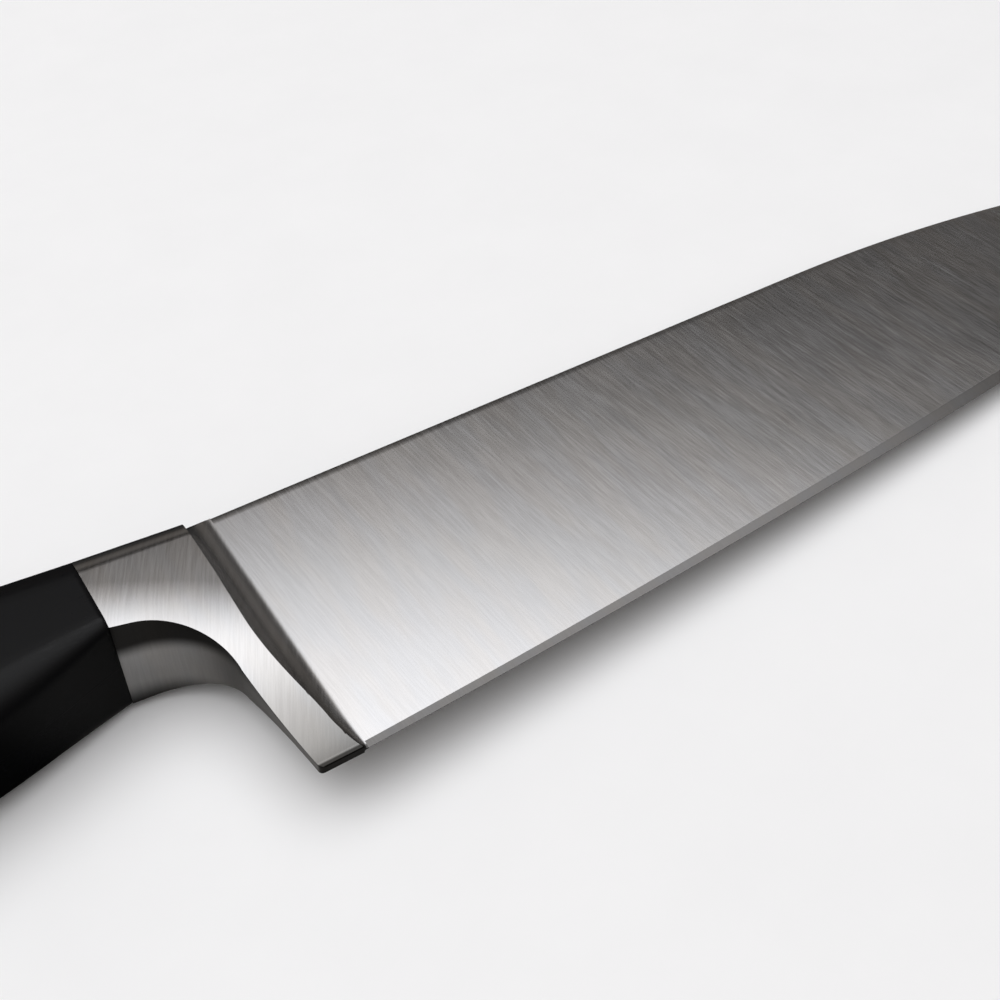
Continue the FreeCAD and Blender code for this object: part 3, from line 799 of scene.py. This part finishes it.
def brushed_steel(name, lean, base, roughness, grain, kind="plain"):
    """Steel ground in one direction; kind is plain, blade or bolster."""
    material, n, inputs = new_material(name)
    place, facing = n.position(), n.parts(n.normal())
    streaks, scratches = grind_marks(n, place, lean, grain)
    colour = steel_colour(n, place, streaks, base)
    across, ground = n.vector(*grind_direction(lean)), None
    if kind == "blade":
        # painted shade on the sharpened strip and the spine
        colour = painted_edge_shade(n, colour, facing)
    if kind == "bolster":
        # painted shade on the bolster's foot, its lower edge, the underside and its rims
        colour = painted_foot_shade(n, colour, place, facing)
        hollow = n.math("MAXIMUM", n.rise(facing[0], *HOLLOW_NORMAL_X), n.rise(place[0], *HOLLOW_X))
        across = n.blend(hollow, across, grind_direction(BLADE_LEAN) + (1.0,))
        ground = ground_normal(n, place, facing, hollow)
    n.link(colour, inputs["Base Color"])
    n.link(steel_roughness(n, place, streaks, scratches, roughness), inputs["Roughness"])
    inputs["Metallic"].default_value = 1.0
    inputs["Anisotropic"].default_value = ANISOTROPY
    n.link(across, inputs["Tangent"])
    slow = n.noise(n.stretched(place, (0.09, 0.03, 0.03)), detail=1.0, roughness=0.4)
    wave = n.bump(slow, strength=0.12, depth=0.04, normal=ground)
    height = n.math("SUBTRACT", streaks, n.times(scratches, 0.08))
    n.link(n.bump(height, strength=0.13, depth=0.012, normal=wave), inputs["Normal"])
    return material


def matt_plastic(name, base, roughness):
    """Black moulding with a fine spark-eroded texture and a faint split line."""
    material, n, inputs = new_material(name)
    x, y, z = n.position()
    place = n.vector(x, y, z)
    texture = n.noise(place, detail=3.0, roughness=0.6, scale=3.2)
    patch = n.noise(place, detail=3.0, roughness=0.55, scale=0.09)
    rub = n.noise(n.stretched((x, y, z), (0.5, 3.0, 3.0)), detail=2.0, roughness=0.6)
    worn = n.rise(n.times(patch, rub), 0.22, 0.42)
    dark = tuple(level * 0.8 for level in base) + (1.0,)
    light = tuple(level * 1.5 for level in base) + (1.0,)
    n.link(n.blend(worn, dark, light), inputs["Base Color"])
    rough = n.math("SUBTRACT", roughness + 0.06, n.times(worn, 0.12))
    n.link(n.plus(rough, n.times(n.plus(texture, -0.5), 0.12)), inputs["Roughness"])
    inputs["Specular IOR Level"].default_value = 0.19
    split = n.fall(n.absolute(z), 0.03, 0.12)
    height = n.plus(n.times(texture, 0.5), n.times(split, 0.8))
    n.link(n.bump(height, strength=0.25, depth=0.06), inputs["Normal"])
    return material


# The floor as the steel mirrors it, a painted reflection: dark, with a painted lit patch, and where
# the patch fades out.
PAINTED_DARK_REFLECTION = (0.015, 0.0145, 0.014, 1.0)
PAINTED_LIT_PATCH = (0.30, 0.295, 0.285, 1.0)
PATCH_TOP_Y, PATCH_LOW_Y, PATCH_REAR_X = (-12.0, 2.0), (-75.0, -45.0), (-30.0, -18.0)


def painted_floor(name):
    """Pale matt floor; as a painted reflection the steel sees it dark, with a painted lit patch by
    the knife.
    """
    material, n, inputs = new_material(name)
    x, y, z = n.position()
    speckle = n.noise(n.vector(x, y, z), detail=4.0, roughness=0.6, scale=0.06)
    paint = n.blend(speckle, (0.88, 0.88, 0.88, 1.0), (0.92, 0.92, 0.92, 1.0))
    patch = n.times(n.fall(y, *PATCH_TOP_Y), n.rise(y, *PATCH_LOW_Y))
    # painted reflection: what glossy rays see instead of the pale floor
    painted_reflection = n.blend(n.times(patch, n.rise(x, *PATCH_REAR_X)), PAINTED_DARK_REFLECTION, PAINTED_LIT_PATCH)
    mirrored = n.add("ShaderNodeLightPath").outputs["Is Glossy Ray"]
    n.link(n.blend(mirrored, paint, painted_reflection), inputs["Base Color"])
    inputs["Roughness"].default_value = 0.85
    inputs["Specular IOR Level"].default_value = 0.2
    n.link(n.bump(speckle, strength=0.1, depth=0.2), inputs["Normal"])
    return material


# ---------------------------------------------------------------- stage
FLOOR_CONTACT_X = -1.9  # most forward place where the bolster has its full thickness
FLOOR_GAP = 0.02
FLOOR_HALF = 3.0  # metres


def make_floor(material):
    """Plane that the bolster's side and the tip lie on, as they would on a bench top."""
    slope = BOLSTER_HALF / (TIP_X - FLOOR_CONTACT_X)
    points = []
    for px, py in ((-1, -1), (1, -1), (1, 1), (-1, 1)):
        x = px * FLOOR_HALF
        z = (x - FLOOR_CONTACT_X * MM) * slope - (BOLSTER_HALF + FLOOR_GAP) * MM
        points.append((x, py * FLOOR_HALF, z))
    mesh = bpy.data.meshes.new("floor")
    mesh.from_pydata(points, [], [(0, 1, 2, 3)])
    mesh.materials.append(material)
    floor = bpy.data.objects.new("floor", mesh)
    bpy.context.scene.collection.objects.link(floor)


# Sky brightness against the sine of the height angle. Beyond the knife, as the camera looks,
# there is a dark surround and a bright overhead panel. Behind the camera and at the sides
# the change is softer.
SKY_AHEAD = [(0.0, 0.03), (0.25, 0.11), (0.42, 0.13), (0.52, 0.05), (0.59, 0.012),
             (0.622, 0.04), (0.656, 0.11), (0.688, 0.23), (0.72, 0.55), (0.743, 0.92),
             (0.766, 1.32), (0.80, 1.70), (0.86, 1.80), (0.93, 1.66), (1.0, 1.55)]
SKY_BEHIND = [(0.0, 0.015), (0.30, 0.03), (0.45, 0.15), (0.60, 0.6), (0.80, 1.2), (1.0, 1.55)]
SKY_SIDES = [(0.0, 0.20), (0.25, 0.42), (0.45, 0.62), (0.70, 1.0), (1.0, 1.55)]
SKY_SEEN = (0.93, 0.93, 0.93, 1.0)  # what the camera sees instead

# Where one sky passes into the next: along AHEAD, or along X for the sides.
AHEAD = (0.56, 0.83, 0.0)
AHEAD_SPAN = (-0.1, 0.25)
BEHIND_SIDE_SPAN = (0.35, 0.65)
AHEAD_SIDE_SPAN = (-0.6, -0.25)
SKY_WARMTH = 0.09  # extra red and missing blue in the darkest parts
SKY_BLUE = 1.015  # blue of the brightest parts


def sky_ramp(n, height, stops):
    """Colour of the sky up the stops, warmer where it is darker."""
    ramp = n.add("ShaderNodeValToRGB")
    n.link(height, ramp.inputs["Fac"])
    elements = ramp.color_ramp.elements
    while len(elements) < len(stops):
        elements.new(0.5)
    for element, (place, level) in zip(elements, stops):
        warm = SKY_WARMTH * (1 - smooth(level, 0.1, 1.0))
        element.position = place
        element.color = (level * (1 + warm), level, level * (SKY_BLUE - warm), 1.0)
    return ramp.outputs["Color"]


def make_world():
    """Soft studio dome: bright overhead, darker low down, pale where the camera sees it."""
    world = bpy.data.worlds.new("studio")
    bpy.context.scene.world = world
    world.use_nodes = True
    n = Nodes(world.node_tree)
    direction = n.add("ShaderNodeTexCoord").outputs["Generated"]
    x, _, height = n.parts(direction)
    turned = n.add("ShaderNodeVectorMath", operation="DOT_PRODUCT")
    n.link(direction, turned.inputs[0])
    turned.inputs[1].default_value = AHEAD
    forward = n.rise(turned.outputs["Value"], *AHEAD_SPAN)
    sides = sky_ramp(n, height, SKY_SIDES)
    back = n.blend(n.rise(n.absolute(x), *BEHIND_SIDE_SPAN), sky_ramp(n, height, SKY_BEHIND), sides)
    front = n.blend(n.rise(x, *AHEAD_SIDE_SPAN), sides, sky_ramp(n, height, SKY_AHEAD))
    lit, seen = n.add("ShaderNodeBackground"), n.add("ShaderNodeBackground")
    n.link(n.blend(forward, back, front), lit.inputs["Color"])
    seen.inputs["Color"].default_value = SKY_SEEN
    mixer = n.add("ShaderNodeMixShader")
    n.link(n.add("ShaderNodeLightPath").outputs["Is Camera Ray"], mixer.inputs["Fac"])
    n.link(lit.outputs[0], mixer.inputs[1])
    n.link(seen.outputs[0], mixer.inputs[2])
    n.link(mixer.outputs[0], n.add("ShaderNodeOutputWorld").inputs["Surface"])


def add_softbox(name, location, target, size, power):
    """Square area light, in metres and watts, that the steel doesn't mirror."""
    light = bpy.data.lights.new(name, "AREA")
    light.shape = "RECTANGLE"
    light.size = light.size_y = size
    light.energy = power
    lamp = bpy.data.objects.new(name, light)
    lamp.location = location
    lamp.rotation_mode = "QUATERNION"
    lamp.rotation_quaternion = (Vector(location) - Vector(target)).to_track_quat("Z", "Y")
    lamp.visible_glossy = False
    bpy.context.scene.collection.objects.link(lamp)


CAMERA_PLACE = Vector((-35.37, -140.16, 131.89)) * MM
CAMERA_RIGHT = Vector((0.8436, -0.5364, -0.0266))
CAMERA_FORWARD = Vector((0.379, 0.6297, -0.6781))
CAMERA_LENS = 50.4
CAMERA_SENSOR = 36.0


def make_camera():
    """Looks down at the bolster from the handle side, close up, as a product close-up does."""
    data = bpy.data.cameras.new("camera")
    data.sensor_width = CAMERA_SENSOR
    data.lens = CAMERA_LENS
    data.clip_start = 0.01
    data.clip_end = 20.0
    camera = bpy.data.objects.new("camera", data)
    forward = CAMERA_FORWARD.normalized()
    up = CAMERA_RIGHT.cross(forward).normalized()
    turn = Matrix((forward.cross(up), up, -forward)).transposed()
    camera.matrix_world = Matrix.Translation(CAMERA_PLACE) @ turn.to_4x4()
    bpy.context.scene.collection.objects.link(camera)
    bpy.context.scene.camera = camera


# ---------------------------------------------------------------- the knife
SATIN = {"base": 0.60, "roughness": 0.20, "grain": SATIN_GRAIN}
AS_ROLLED = {"base": 0.40, "roughness": 0.45, "grain": ROLLED_GRAIN}
GRIP_BLACK = (0.0011, 0.0012, 0.0017)
CORE_BLACK = (0.05, 0.05, 0.055)

blade_steel = brushed_steel("blade_steel", BLADE_LEAN, kind="blade", **SATIN)
bolster_steel = brushed_steel("bolster_steel", BOLSTER_LEAN, kind="bolster", **SATIN)
tang_steel = brushed_steel("tang_steel", TANG_LEAN, **AS_ROLLED)
grip_plastic = matt_plastic("grip_plastic", GRIP_BLACK, roughness=0.33)
core_plastic = matt_plastic("core_plastic", CORE_BLACK, roughness=0.5)

blade = make_blade(blade_steel)
bolster = make_bolster(bolster_steel)
break_edges(bolster)
handle = make_handle(grip_plastic)
for piece, node, slot in ((blade, "blade", "blade_steel"), (bolster, "bolster", "bolster_steel"),
                          (handle, "handle_grip", "grip_plastic")):
    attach(piece, "root")
    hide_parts(node)

for node, material in (("tang", tang_steel), ("handle_core", core_plastic)):
    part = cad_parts[node]
    part.data.materials.clear()
    part.data.materials.append(material)

make_floor(painted_floor("floor_paint"))
make_world()
add_softbox("key", location=(-0.5, 0.3, 0.9), target=(0.03, -0.02, 0.0), size=0.8, power=1.5)
make_camera()
bpy.context.scene.view_settings.view_transform = "Standard"
